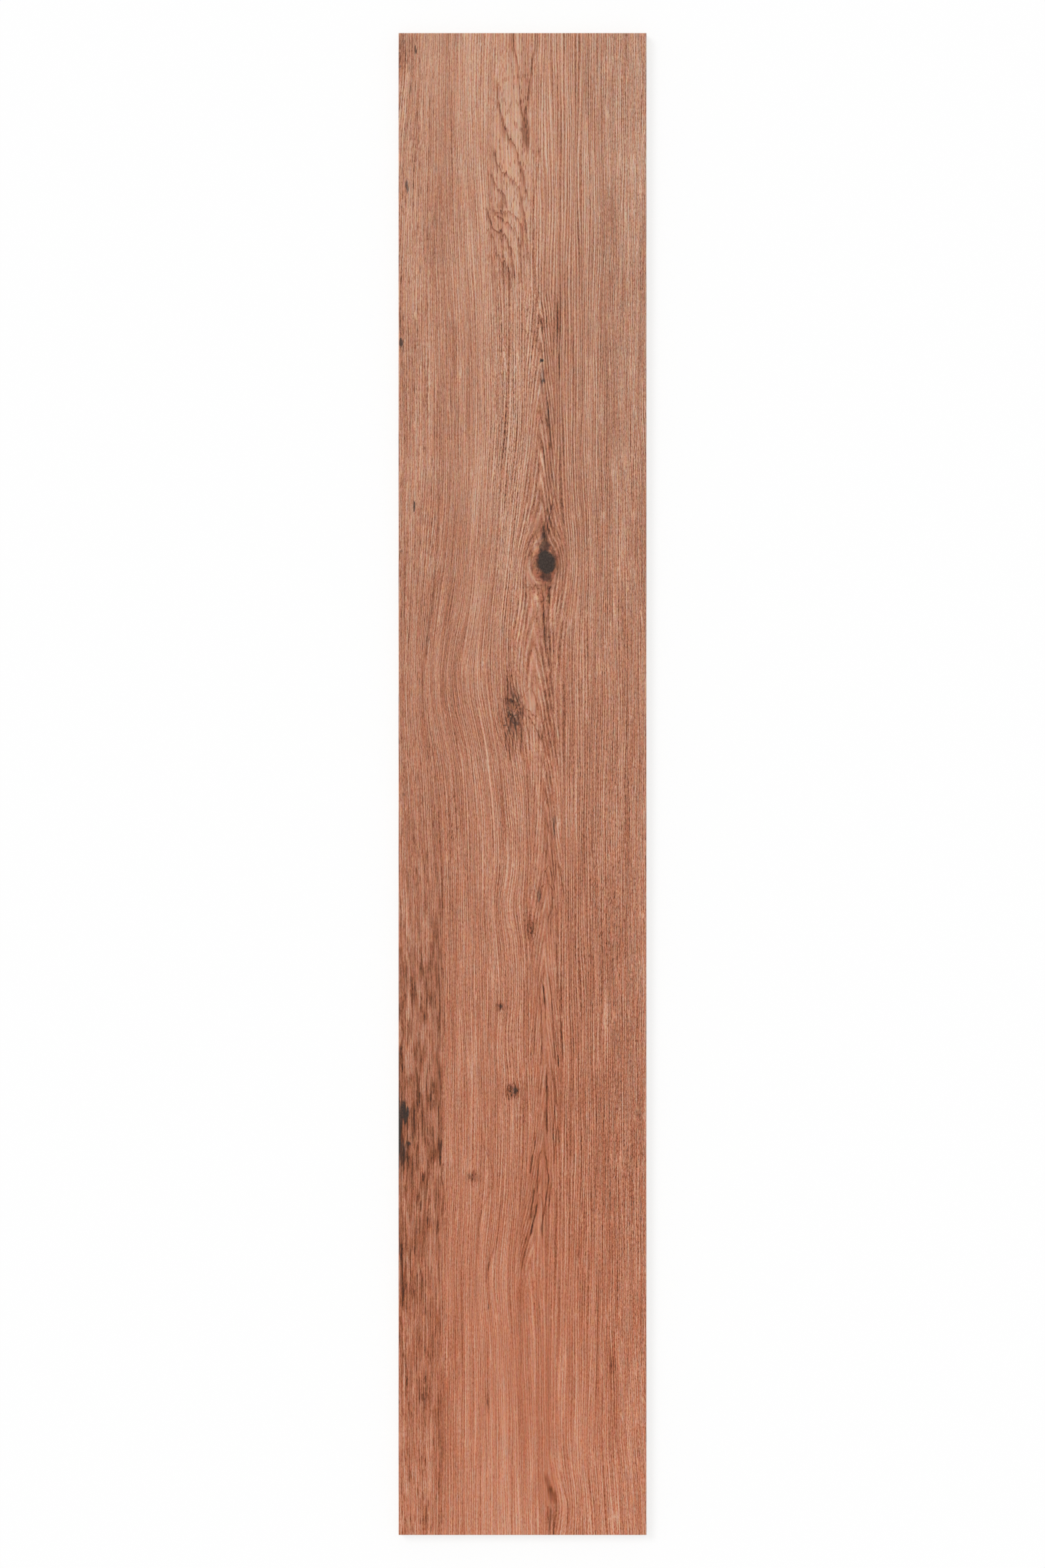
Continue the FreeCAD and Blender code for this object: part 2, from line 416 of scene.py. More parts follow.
        ([(12, -165.5), (14, -172.5), (14.8, -182), (15.3, -195), (15.5, -213), (15.6, -228)], 0.5, 38),
        ([(26.5, -122), (27.5, -145), (29, -165), (30, -185), (31, -200), (32, -215),
          (33, -234)], 0.5, 34),
        ([(19.2, -224), (19.3, -240), (19.5, -252), (19.5, -268), (19.6, -283)], 0.7, 46),
        ([(23, -223), (25, -236), (26.4, -250), (25.5, -265), (24.6, -280), (25, -290),
          (25, -305)], 0.5, 36), ([(28.5, -216), (28.6, -227)], 0.6, 42),
        ([(16.2, -227), (15, -238), (13.5, -251)], 0.4, 28),
        ([(28, -272), (27, -279), (25.8, -292), (25.2, -305)], 0.45, 34),
        ([(28.1, -272), (28.8, -278), (29.2, -289)], 0.4, 30),
        ([(16.5, -291), (14.8, -294), (13, -297.5), (12.6, -304), (12, -315), (11.6, -328)], 0.5, 38),
        ([(16.6, -291), (17.8, -295), (19.2, -300), (19.7, -308), (20.8, -314), (19.8, -324),
          (18.6, -333), (17.2, -342), (16, -350), (15.5, -358), (16, -366)], 0.6, 46),
        ([(10, -278), (9.8, -293)], 0.5, 38), ([(7.8, -295), (7.2, -302), (6, -312)], 0.8, 46),
        ([(9.4, -321), (8.4, -331), (7.2, -340), (6, -349)], 0.7, 48),
        ([(11.3, -333), (10.5, -341), (9.3, -346.5), (8, -351.5), (7.2, -356), (5.8, -363)], 0.6, 54),
        ([(14, -326), (12.3, -332), (11.5, -338), (10.6, -347)], 0.4, 30),
        ([(14.1, -326), (15.6, -332), (16.3, -338), (16.1, -347)], 0.4, 30),
        ([(23, -315), (22, -327), (20.8, -340)], 0.5, 36),
        ([(4.6, -356), (2.6, -366), (1, -376), (0.4, -390)], 1.6, 22),
    ],
    # fuzzy knots with dashes all round: middle, reach, drop, smoke
    "bursts": [
        ((18.7, 177), (11, 14), 30, 0.55), ((-8, 57), (8.5, 16), 36, 0.5),
        ((6.5, -115.5), (4, 7), 28, 0.2), ((-17.7, -178), (3, 3.4), 26, 0.5),
        ((-8, -245), (5, 5.4), 26, 0.6), ((-40, -314), (5, 4.5), 24, 0.4),
    ],
    # rings round small knots: middle, half size, drop
    "rings": [
        ((-8.5, -245), (4.4, 4.8), 20), ((-8.2, -245), (2.5, 2.7), 18), ((-17.8, -178), (2.9, 2.9), 14),
    ],
    # pale pointed rings with a dark rim: middle, half size, lift, rim
    "lenses": [
        ((15.2, 254), (2.5, 19), 8, 22), ((9, 96), (4, 15), 6, 16), ((9, 192), (4, 10), 4, 14),
    ],
    # smoky stains that follow the grain: middle, reach, strength, lean
    "stains": [
        ((-94, 586), (8, 14), 0.45), ((-90, 554), (2.5, 9), 0.6, -0.15), ((-96, 508), (2, 8), 0.5, -0.1),
        ((-92, 525), (1.5, 6), 0.5, -0.1), ((-92, 478), (1.8, 6), 1.0), ((-91.5, 364), (2.5, 7), 0.7),
        ((-97, 353), (1.6, 5), 1.0), ((-98, 330), (1.2, 8), 0.7), ((28, 366), (2.2, 20), 0.6),
        ((29, 336), (1.4, 9), 0.5), ((15.5, 366), (1.6, 10), 0.6), ((16.5, 326), (4, 16), 0.8),
        ((20.5, 292), (2, 18), 0.9, 0.05), ((22, 245), (2.4, 26), 0.5),
        ((19.5, 208), (3.2, 14), 0.6, -0.22), ((17.5, 193), (4, 9), 0.8), ((18, 164), (4, 6), 0.6),
        ((18.5, 145), (3.5, 16), 0.35), ((20, 105), (4, 36), 0.3, 0.08), ((-87, 221), (0.8, 5), 1.0),
        ((-8, 70), (5, 4), 0.7), ((-9, 44), (5.5, 4), 0.8), ((-8, 57), (8, 14), 0.6),
        ((-11, 82), (3, 10), 0.3), ((-9, 33), (5, 9), 0.35), ((25.2, -33), (1.1, 10), 1.2),
        ((13.2, -89), (1.2, 5.5), 1.3), ((7, -116), (2.6, 6), 0.35), ((26, -213), (1.1, 8), 0.7),
        ((19.5, -247), (0.9, 14), 0.6), ((-17.5, -178), (2.4, 2.6), 0.7), ((-6.5, -245), (2.6, 3), 0.7),
        ((-12, -226), (2.2, 4), 0.5), ((-66, -230), (1.8, 8), 0.8), ((-64, -300), (1.4, 22), 0.6),
        ((-69, -353), (4, 9), 0.7), ((-95, -263), (6, 12), 0.8), ((-95, -297), (5, 14), 0.9),
        ((-98.5, -282), (2.2, 38), 1.2), ((-97, -388), (1.6, 24), 1.0), ((-94, -468), (2, 14), 0.7, 0.05),
        ((-79, -490), (5, 10), 0.6), ((-40, -314), (4, 3), 0.5), ((8.3, -350), (1.4, 9), 0.9, -0.22),
        ((15.6, -355), (1.3, 7), 0.8), ((7.2, -302), (1.2, 6), 0.7), ((-28, -385), (2.5, 14), 0.6, -0.15),
        ((-1, -400), (2, 14), 0.45), ((-27, -418), (1, 4), 0.7), ((-28, -493), (1.5, 9), 0.9),
        ((72, -464), (3, 9), 0.5), ((22.8, -565), (2.8, 9), 0.6, 0.3), ((23, -583), (3, 14), 0.5),
        ((21.5, -598), (2.4, 8), 0.5), ((-80, -230), (14, 150), 0.25), ((-82, -480), (12, 90), 0.2),
    ],
    # charred spots: middle, half size, strength, lean
    "chars": [
        ((19.1, 177), (7.6, 8.4), 1.0), ((17.4, 181), (5.4, 6.4), 1.0), ((20, 172.8), (5.6, 5), 1.0),
        ((17.4, 189), (4.4, 6), 0.62, -0.1), ((15.3, 338.5), (1.4, 1.8), 0.95),
        ((16.5, 322), (1.2, 2.5), 0.6), ((-95, -262), (3.4, 8.5), 0.8, 0.1),
        ((-97.2, -266), (2.4, 9), 0.75), ((-91.8, -262), (1.5, 3.8), 0.95),
        ((-96, -294), (2.6, 10), 0.6, 0.05), ((-92.8, -289), (1.4, 4), 0.5), ((-91, -287), (1, 2), 0.8),
        ((-98.7, -369), (0.7, 6), 0.8), ((-98.9, -276), (1.5, 26), 1.0),
        ((-13.2, 46.6), (3.2, 0.9), 0.55), ((-8.4, 50.5), (2, 3), 0.58, 0.5),
        ((-5.5, 48), (3.4, 2), 0.59), ((-10, 66.5), (3, 2), 0.5), ((13.2, -89), (1.2, 6), 0.5),
        ((25.2, -34), (0.9, 10), 0.5), ((-17.6, -177.8), (1.5, 1.6), 0.5),
        ((-5.8, -244.8), (1.6, 2.2), 0.7), ((-28, -492), (0.8, 5), 0.45),
        ((-27, -418.5), (0.6, 2.6), 0.45), ((-92.3, 478), (1.0, 5), 0.6), ((-85.5, 587), (0.8, 2), 0.7),
        ((-98, 573), (0.8, 1.4), 0.5), ((-93, 577), (1.2, 1.8), 0.35), ((-95.5, 592), (1.6, 2.4), 0.35),
        ((-97, 353), (0.9, 3), 0.7), ((-86.6, 221), (0.9, 5), 0.75), ((-94.8, -8), (0.7, 1.4), 0.4),
        ((-97, 186), (1, 1.3), 0.4), ((18.7, 166), (4.6, 4.4), 0.6), ((17.4, 196), (2.4, 6), 0.5, -0.1),
    ],
}

# noises along the grain: mm wide, mm long, seed, detail, strength
woodNoise = {
    "wideSway": (70, 300, 3.3, 0, 6),  # these push the grain aside, in mm
    "middleSway": (13, 75, 8.1, 0, 2),
    "smallSway": (3.6, 16, 5.7, 0, 0.55),
    "lineDrift": (7, 200, 1.7, 0, 1.4),  # these shift the fine lines, counted in lines
    "lineShake": (2.6, 110, 4.4, 0, 0.9),
    "paleBreaks": (1.7, 55, 2.9, 1, 1),  # these break them up
    "threads": (2.7, 80, 12.6, 0, 0.8),
    "darkBreaks": (1.9, 60, 17.3, 0, 1),
    "darkDashes": (1.0, 4.5, 7.3, 1, 1),
    "pores": (0.9, 3.6, 3.7, 0, 24),  # these change the grey level
    "flamePores": (1.3, 8, 43.3, 0, 40),
    "leftDashes": (2.1, 15, 53.9, 0, 28),
    "flecks": (1.7, 8, 14.2, 0, 40),
    "fibres": (0.7, 2.6, 21.9, 1, 50),
    "dust": (0.5, 0.8, 27.7, 0, 20),
    "nearBands": (3.6, 260, 47.3, 1, 20),
    "slowBands": (4.5, 120, 31.1, 0, 24),
    "slowShade": (14, 320, 41.5, 0, 14),
    "bandStrokes": (2.0, 26, 51.3, 1, 30),
    "bandSmudges": (6, 34, 61.7, 1, 20),
    "charGrain": (1.6, 16, 81.9, 1, 0.6),  # these roughen what looks burnt
    "charBreaks": (0.9, 5, 87.1, 1, 0.9),
    "cinders": (1.2, 1.6, 91.3, 1, 0.4),
    "warmFibres": (0.9, 9, 71.2, 1, 0.28),  # single fibres stray between orange and blue grey
    "warmBands": (2.4, 25, 73.8, 0, 0.14),
    "pinkFibres": (0.9, 9, 77.4, 1, 0.23),  # and between green and pink
    "sheen": (9, 90, 33.7, 0, 0.16),  # these vary the glaze: its gloss and its pores
    "dents": (0.5, 7, 13.1, 0, 1),
    "dimples": (0.45, 0.7, 15.7, 0, 0.4),
    "markFray": (1.4, 14, 6.1, 1, (2.0, 9.0)),  # these fray drawn marks, across and along, in mm
    "lineFray": (1.3, 6, 16.1, 1, (0.9, 4.0)),
    "stainFray": (1.6, 10, 6.1, 1, (2.4, 9.0)),
    "charFray": (2.4, 3.4, 9.4, 1, (2.6, 3.4)),
}

# shades of the print by grey level, deeper than they look because the glaze's sheen lifts them
woodShades = {
    "far": [(40, (41, 17, 12)), (82, (106, 64, 43)), (107, (144, 90, 65)), (125, (167, 110, 84)),
            (140, (182, 126, 100)), (153, (193, 141, 115)), (167, (203, 159, 132)), (184, (213, 175, 150))],
    "near": [(40, (37, 12, 8)), (79, (113, 58, 27)), (101, (148, 80, 49)), (127, (179, 108, 78)),
             (140, (191, 123, 94)), (156, (202, 142, 114)), (173, (212, 161, 134)), (184, (218, 170, 144))],
    "change": (350, -500),  # from the far shades to the near ones, along y
    "smoke": (0.34, 0.39, 0.44),  # how much of each colour a smoky stain lets through
    "char": (47, 35, 29),
    "ash": (66, 54, 47),
    "farCool": 0.03,  # the far right is cooler, the near end warmer and the left band cooler
    "nearWarm": 0.012,
    "bandCool": 0.05,
}

bellEnd = 2.6  # a bell is as good as gone this many reaches from its middle
spare = 8  # mm by which frayed marks may stray


def within(entries, span, stretch):  # the entries that reach into a stretch of the plank
    kept = []
    for entry in entries:
        if isinstance(entry[0], list):
            ys = [point[1] for point in entry[0]]
            low, high = min(ys), max(ys)
        else:
            low = entry[0][1] - entry[1][1] * stretch
            high = entry[0][1] + entry[1][1] * stretch
        if low - spare < span[1] and high + spare > span[0]:
            kept.append(entry)
    return kept


def streaks(flow, name, out=0):  # noise drawn out along the grain
    wide, long, seed, detail, _ = woodNoise[name]
    return noise(drawnOut(flow, wide, long, seed), detail, out=out)


def drawnOut(flow, wide, long, seed):
    return flow.vector("MULTIPLY_ADD", flow, (1 / wide, 1 / long, 0), (seed, seed * 0.7, 0))


def swayed(flow, name):  # streaks about 0, by their strength
    return (streaks(flow, name) - 0.5) * woodNoise[name][-1]


def stroked(flow, name, start, end):  # streaks from start to end, by their strength
    return soft(streaks(flow, name), start, end) * woodNoise[name][-1]


def poreDashes(flow, name, few, rim=0.16):  # short dark pores along the grain, by their strength
    wide, long, seed, _, strength = woodNoise[name]
    cell = flow.node("TexVoronoi", {"voronoi_dimensions": "2D"},
                     {"Vector": drawnOut(flow, wide, long, seed), "Scale": 1.0})
    chance = cell.node("SeparateColor", {}, {0: cell.other("Color")})
    return soft(cell, 0.3, rim) * soft(chance, few, few + 0.15) * strength


def frayed(place, name):  # place shifted about, so that drawn marks fray
    across, along = woodNoise[name][-1]
    shift = streaks(place, name, "Color")
    shift = shift.vector("MULTIPLY_ADD", shift, (across, along, 0), (-across / 2, -along / 2, 0))
    return shift.vector("ADD", place, shift)


def woodFlow(start, span):  # start: position in metres, span: the stretch it is for in mm
    place = start.vector("MULTIPLY", start, (1000, 1000, 0))
    x, y = parts(place)
    push = swayed(place, "wideSway") + swayed(place, "middleSway") + swayed(place, "smallSway")
    for at, reach, aside in within(woodFigure["bends"], span, bellEnd):
        push = push.plus(bell(place, at, reach), aside)
    for at, reach, aside in within(woodFigure["partings"], span, bellEnd):
        near = local(place, at, reach)
        side, _ = parts(near)
        push = push.plus(side.math("TANH", side * 2.5) * fading(near), aside)
    across = x - push
    flow = across.node("CombineXYZ", {}, {0: across, 1: y})
    return {"place": place, "x": x, "y": y, "across": across, "flow": flow}


def heartArches(wood, jag):  # pointed arches down the heart line, and where they show
    fig = woodFigure
    aside = wood["across"] - curve(wood["y"], fig["heart"])
    reach = aside.math("SQRT", aside * aside + fig["archTip"])
    arch = reach * (1 / fig["archPitch"]) + jag * (1 / (fig["archSlope"] * fig["archPitch"]))
    shown = soft(abs(aside), *fig["archWide"])
    shown = shown * soft(wood["y"], *fig["archNear"]) * soft(wood["y"], *fig["archFar"])
    return arch.math("COSINE", arch * (2 * math.pi)), shown


def ringLines(wood, jag):  # early wood lines, 1 on a pale line and -1 between
    swing = curve(wood["across"], woodFigure["lineCount"])
    for name in ("lineDrift", "lineShake"):
        swing = swing + streaks(wood["flow"], name) * woodNoise[name][-1]
    sides = swing.math("COSINE", swing * (2 * math.pi))
    arches, shown = heartArches(wood, jag)
    return sides + (arches - sides) * shown


def offPath(x, y, points):  # mm to the right of a drawn path
    off = x - curve(y, sorted((point[1], point[0]) for point in points), True)
    slopes = [abs(b[1] - a[1]) / abs(b[0] - a[0] + 1e-6) for a, b in zip(points, points[1:])]
    if min(slopes) < 3:  # flat stretches: measured square to the path
        rise = y - curve(x, sorted(points), True)
        off = off * abs(rise) / off.math("SQRT", off * off + rise * rise + 0.0001)
    return off


def pathEnds(y, points, share):  # fades a drawn line at its two ends
    high, low = points[0][1], points[-1][1]
    fade = (high - low) * share
    return soft(y, high, high - fade) * soft(y, low, low + fade)


def drawnLine(x, y, points, wide):
    return soft(abs(offPath(x, y, points)), wide * 1.5, wide * 0.3) * pathEnds(y, points, 0.15)


def flameArm(x, y, points, side, wide):  # a line with a brown shade on one side
    off = offPath(x, y, points) * side
    shade = soft(off, 1.5, 0.3) * 0.45 + soft(off, wide * 1.5, 0) * 0.55
    return soft(off, -0.5, 0.2) * shade * pathEnds(y, points, 0.07)


def knotRays(place, at, reach):  # dashes pointing away from a knot's middle
    near = local(place, at, reach)
    ray = near.vector("MULTIPLY_ADD", near.vector("NORMALIZE", near), (3.4, 3.4, 0), (at[0], at[0], 0))
    ray = near.vector("MULTIPLY_ADD", near, (1.3, 1.3, 0), ray)
    return soft(noise(ray, 1.0), 0.35, 0.68) * fading(near)


# drawn marks, each as a drop in grey level

def drawnShades(place, span):
    fig = woodFigure
    x, y = parts(place)
    drops = x * 0
    for points, side, wide, drop in within(fig["flameArms"], span, 1):
        drops = drops.plus(flameArm(x, y, points, side, wide), fig["armStrength"] * drop)
    for at, half, drop, *lean in within(fig["patches"], span, 1.5):
        drops = drops.plus(spot(place, at, half, 0.4, *lean), drop)
    for at, reach, drop, *lean in within(fig["shades"], span, bellEnd):
        drops = drops.plus(bell(place, at, reach, *lean), drop)
    return drops


def drawnLines(place, span):
    fig = woodFigure
    x, y = parts(place)
    drops = x * 0
    for points, wide, drop in within(fig["lines"], span, 1):
        drops = drops.plus(drawnLine(x, y, points, wide), fig["lineStrength"] * drop)
    return drops


def drawnKnots(place, span):
    fig = woodFigure
    x, _ = parts(place)
    drops = x * 0
    for at, reach, drop, _ in within(fig["bursts"], span, bellEnd):
        drops = drops.plus(knotRays(place, at, reach), drop)
    for at, half, drop in within(fig["rings"], span, 1.3):
        near = local(place, at, half)
        drops = drops.plus(soft(abs(near.vector("LENGTH", near, out=1) - 1), 0.28, 0.05), drop)
    for at, half, lift, rim in within(fig["lenses"], span, 1.2):
        side, along = parts(local(place, at, half))
        shape = abs(side) + along * along
        drops = drops.plus(soft(shape, 1, 0.6), -lift)
        drops = drops.plus(soft(abs(shape - 1), 0.35, 0.05) * soft(along, -1.1, 0.3), rim)
    return drops


def fineGrain(wood, rings, span):  # fine lines and pores about 0, and the dark lines alone
    fig = woodFigure
    place, flow = wood["place"], wood["flow"]
    flame = spot(place, *fig["flame"])
    calm = 1 - flame * fig["flameCalm"]
    for at, reach, share in within(fig["calms"], span, bellEnd):
        calm = calm.plus(bell(place, at, reach), -share)
    pale = soft(rings, 0.1, 0.95) * stroked(flow, "paleBreaks", 0.25, 0.65)
    thread = soft(abs(streaks(flow, "threads") - 0.5), 0.045, 0.0) * woodNoise["threads"][-1]
    pale = pale.math("MAXIMUM", pale, thread)
    dark = soft(rings, 0.1, -0.9) * stroked(flow, "darkBreaks", 0.1, 0.7)
    dark = dark * stroked(flow, "darkDashes", 0.25, 0.62)
    fine = pale * fig["paleLines"] - dark * fig["darkLines"] - poreDashes(flow, "pores", 0.45)
    fine = (fine + swayed(flow, "fibres") + swayed(place, "dust") - fig["evening"]) * calm
    if span[1] > fig["flameNear"]:
        fine = fine - poreDashes(flow, "flamePores", 0.45, 0.2) * flame
    return fine * curve(wood["x"], fig["lineContrast"]), dark


def woodTone(wood, span):  # grey level of the print, and its dark lines alone
    fig = woodFigure
    place, flow, x, y = wood["place"], wood["flow"], wood["x"], wood["y"]
    loose = frayed(place, "markFray")
    rings = ringLines(wood, parts(loose)[1])
    fine, dark = fineGrain(wood, rings, span)
    tone = curve(y, fig["levelAlong"]) + curve(x, fig["levelAcross"])
    even = soft(x, 9, 22) * soft(x, 85, 50) * soft(y, 60, 330)
    tone = tone + fine * (1 - even * 0.22) + rings * even * fig["evenRings"]
    tone = tone + swayed(flow, "slowBands") + swayed(flow, "slowShade")
    if span[0] < fig["nearEnd"]:
        near = soft(y, -270, -420) * soft(x, -66, -56)
        tone = tone + (swayed(flow, "nearBands") - fine * 0.08) * near
    # dark band and dashes down the left edge
    if span[0] < fig["bandStrength"][-1][0]:
        wood["band"] = soft(x, -60, -67) * curve(y, fig["bandStrength"])
        strokes = stroked(flow, "bandStrokes", 0.48, 0.66) + stroked(flow, "bandSmudges", 0.42, 0.62)
        tone = tone - wood["band"] * (strokes - fig["bandLift"] + fine * 0.35)
    tone = tone + soft(x, -58, -76) * (fig["leftLift"] - poreDashes(flow, "leftDashes", 0.55))
    flecks = within(fig["flecks"], span, bellEnd)
    if flecks:
        slant = place.vector("ADD", place, place.node("CombineXYZ", {}, {0: y * -0.2}))
        dashes = poreDashes(slant, "flecks", 0.6)
        for at, reach in flecks:
            tone = tone - dashes * bell(place, at, reach)
    # drawn marks
    gentle = frayed(place, "lineFray")
    tone = tone - grouped("drawnShades", {"place": loose}, lambda wire: drawnShades(wire, span))
    tone = tone - grouped("drawnLines", {"place": gentle}, lambda wire: drawnLines(wire, span))
    tone = tone - grouped("drawnKnots", {"place": loose}, lambda wire: drawnKnots(wire, span))
    return tone, dark


def charMarks(loose, ragged, grain, broken, span):
    char = grain * 0
    for at, reach, strength, *lean in within(woodFigure["stains"], span, bellEnd):
        char = char.plus(bell(loose, at, reach, *lean) * (strength * 0.6), grain)
    for at, reach, _, smoke in within(woodFigure["bursts"], span, bellEnd):
        char = char.plus(knotRays(loose, at, reach), smoke)
    for at, half, strength, *lean in within(woodFigure["chars"], span, 1.6):
        place = loose if half[1] > 1.9 * half[0] else ragged  # long spots fray along the grain
        mark = spot(place, at, half, 0.4, *lean) * strength
        char = char.math("MAXIMUM", char, mark * broken if strength < 0.6 else mark)
    return char


def woodChar(wood, dark, span):  # 1 where the wood looks burnt
    place, flow = wood["place"], wood["flow"]
    wires = {
        "loose": frayed(place, "stainFray"),
        "ragged": frayed(place, "charFray"),
        "grain": dark * 0.6 + stroked(flow, "charGrain", 0.3, 0.7),
        "broken": stroked(flow, "charBreaks", 0.2, 0.62) + 0.1,
    }
    return grouped("charMarks", wires, lambda *inner: charMarks(*inner, span))


def fibreTint(wood, span):  # what each colour of the print is multiplied by
    shades, flow, x, y = woodShades, wood["flow"], wood["x"], wood["y"]
    warm = swayed(flow, "warmFibres") + swayed(flow, "warmBands")
    warm = warm - soft(x, 20, 80) * soft(y, 50, 450) * shades["farCool"]
    if span[0] < woodFigure["nearEnd"]:
        warm = warm + soft(y, -250, -450) * shades["nearWarm"]
    if "band" in wood:
        warm = warm - wood["band"] * shades["bandCool"]
    pink = swayed(flow, "pinkFibres")
    return warm.node("CombineXYZ", {},
                     {0: 1 + warm, 1: 1 - warm * 0.36 - pink, 2: 1 - warm * 1.2 + pink})


def printedFace(number, span):  # one stretch of the face, so that each holds only its own marks
    made, top = newMaterial("printedWoodGlaze%d" % number)
    wood = woodFlow(top.node("TexCoord", {}, {}, "Object"), span)
    place = wood["place"]
    tone, dark = woodTone(wood, span)
    tone = tone * (1 / 255)
    ends = []
    for end in ("far", "near"):
        stops = [(level / 255, paint(*shade)) for level, shade in woodShades[end]]
        ends.append(tone.node("ValToRGB", {"stops": stops}, {0: tone}))
    colour = mixed(soft(wood["y"], *woodShades["change"]), *ends)
    colour = colour.vector("MULTIPLY", colour, fibreTint(wood, span))
    # smoke, then char over it
    char = woodChar(wood, dark, span)
    colour = mixed(soft(char, 0, 0.6), colour, colour.vector("MULTIPLY", colour, woodShades["smoke"]))
    cinder = swayed(place, "cinders")
    ash = mixed(soft(cinder, -0.12, 0.12), paint(*woodShades["char"]), paint(*woodShades["ash"]))
    colour = mixed(soft(char - cinder, 0.5, 0.95), colour, ash)
    rough = 0.5 + dark * 0.14 + soft(char, 0.2, 0.8) * 0.14 + swayed(place, "sheen")
    pores = streaks(place, "dents") + streaks(place, "dimples") * woodNoise["dimples"][-1]
    return finished(made, colour, rough, 0.25, pores, 0.3, 0.0002)


# the bare fired body, in shades of 0 to 255 and millimetres
firedBody = {
    "pale": (211, 191, 170),
    "deep": (187, 161, 138),
    "speck": (128, 101, 82),
    "engobe": (221, 211, 199),  # the pale coat under the print, seen along the top of an edge
    "coat": 0.45,
    "dust": (222, 213, 202),  # kiln wash on the crests of the back
    "gloss": 0.3,
}


def grit(place, size, seed, detail=1.0):  # noise in all three directions, size in mm
    scale = [1 / length for length in size]
    return noise(place.vector("MULTIPLY_ADD", place, scale, (seed, seed * 0.7, seed * 0.4)), detail, "3D")


def bodyPlace(top):  # position in mm, and its height alone
    place = top.node("TexCoord", {}, {}, "Object")
    place = place.vector("MULTIPLY", place, (1000, 1000, 1000))
    return place, place.node("SeparateXYZ", {}, {0: place}, "Z")


def bodyShade(place):  # mottled clay with dark specks
    cloud = (grit(place, (9, 9, 9), 2.3) - 0.5) * 0.4 + grit(place, (0.5, 0.5, 0.5), 5.9)
    colour = mixed(soft(cloud, 0.2, 0.8), paint(*firedBody["deep"]), paint(*firedBody["pale"]))
    speck = soft(grit(place, (0.55, 0.55, 0.55), 9.2, 0.0), 0.7, 0.8)
    return mixed(speck * 0.6, colour, paint(*firedBody["speck"]))


def groundEdge(brim):  # brim: height of the edge's top in mm
    made, top = newMaterial("groundEdge")
    place, z = bodyPlace(top)
    scratch = grit(place, (30, 30, 0.22), 3.1)  # left along the edge by the wheel
    colour = mixed(soft(scratch, 0.5, 0.75) * 0.35, bodyShade(place), paint(*firedBody["pale"]))
    under = brim - firedBody["coat"]
    coat = soft(z + (scratch - 0.5) * 0.2, under - 0.06, under + 0.06)
    colour = mixed(coat * 0.85, colour, paint(*firedBody["engobe"]))
    return finished(made, colour, scratch * 0.3 + 0.55, firedBody["gloss"], scratch, 0.4, 0.0002)


def pressedBack():
    made, top = newMaterial("pressedBack")
    place, z = bodyPlace(top)
    pebble = grit(place, (0.9, 0.9, 0.9), 7.7)
    worn = grit(place, (14, 14, 14), 11.3, 2.0)
    crest = soft(z, 0.4, 0.02) * soft(worn + (pebble - 0.5) * 0.5, 0.3, 0.62)
    colour = mixed(crest * 0.75, bodyShade(place), paint(*firedBody["dust"]))
    return finished(made, colour, worn * 0.2 + 0.75, firedBody["gloss"], pebble, 0.5, 0.0003)


# the plank: a fine face over ground edges and a waffle back, in metres

plank = {
    "columns": 384,  # across the face
    "rows": 216,  # along it
    "faceBevel": 0.0006,
    "backArris": 0.0004,
    "ribCells": (8, 50),
    "ribPitch": 0.02375,
    "ribWidth": 0.003,
    "ribHeight": 0.0007,
    "ribDraft": 50,  # degrees
    "grainDepth": 0.00028,  # of the pressed relief, and the shares of it that follow
    "bandDents": 0.5,
    "lineDents": 0.45,
    "knotDents": 0.6,
    "knotSize": 0.6,  # of a knot's hollow, beside the parting of the grain
    "grainFade": (3, 6),  # mm in from the border, across and along
    "stretches": 12,  # the print is made in this many stretches
    "flat": 0.3,  # a face that leans less than this up or down is an edge
}

# where each side lies on the map: start, length and axis, across the map and up it
bakeMap = {
    "face": ((0.01, 0.84, 0), (0.03, 0.965, 1)),
    "back": ((0.87, 0.08, 0), (0.03, 0.965, 1)),
    "left": ((0.964, 0.012, 2), (0.03, 0.965, 1)),
    "right": ((0.984, 0.012, 2), (0.03, 0.965, 1)),
    "near": ((0.01, 0.44, 0), (0.002, 0.018, 2)),
    "far": ((0.5, 0.44, 0), (0.002, 0.018, 2)),
}

lowCorner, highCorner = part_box("plank_tile")
size = highCorner - lowCorner
faceSize = (size.x - 2 * plank["faceBevel"], size.y - 2 * plank["faceBevel"])


def outlineDown(drop, fromSize, toSize):  # carries the selected outline down and to a new size
    bpy.ops.mesh.extrude_region_move(TRANSFORM_OT_translate={"value": (0, 0, -drop)})
    bpy.ops.transform.resize(value=(toSize[0] / fromSize[0], toSize[1] / fromSize[1], 1))


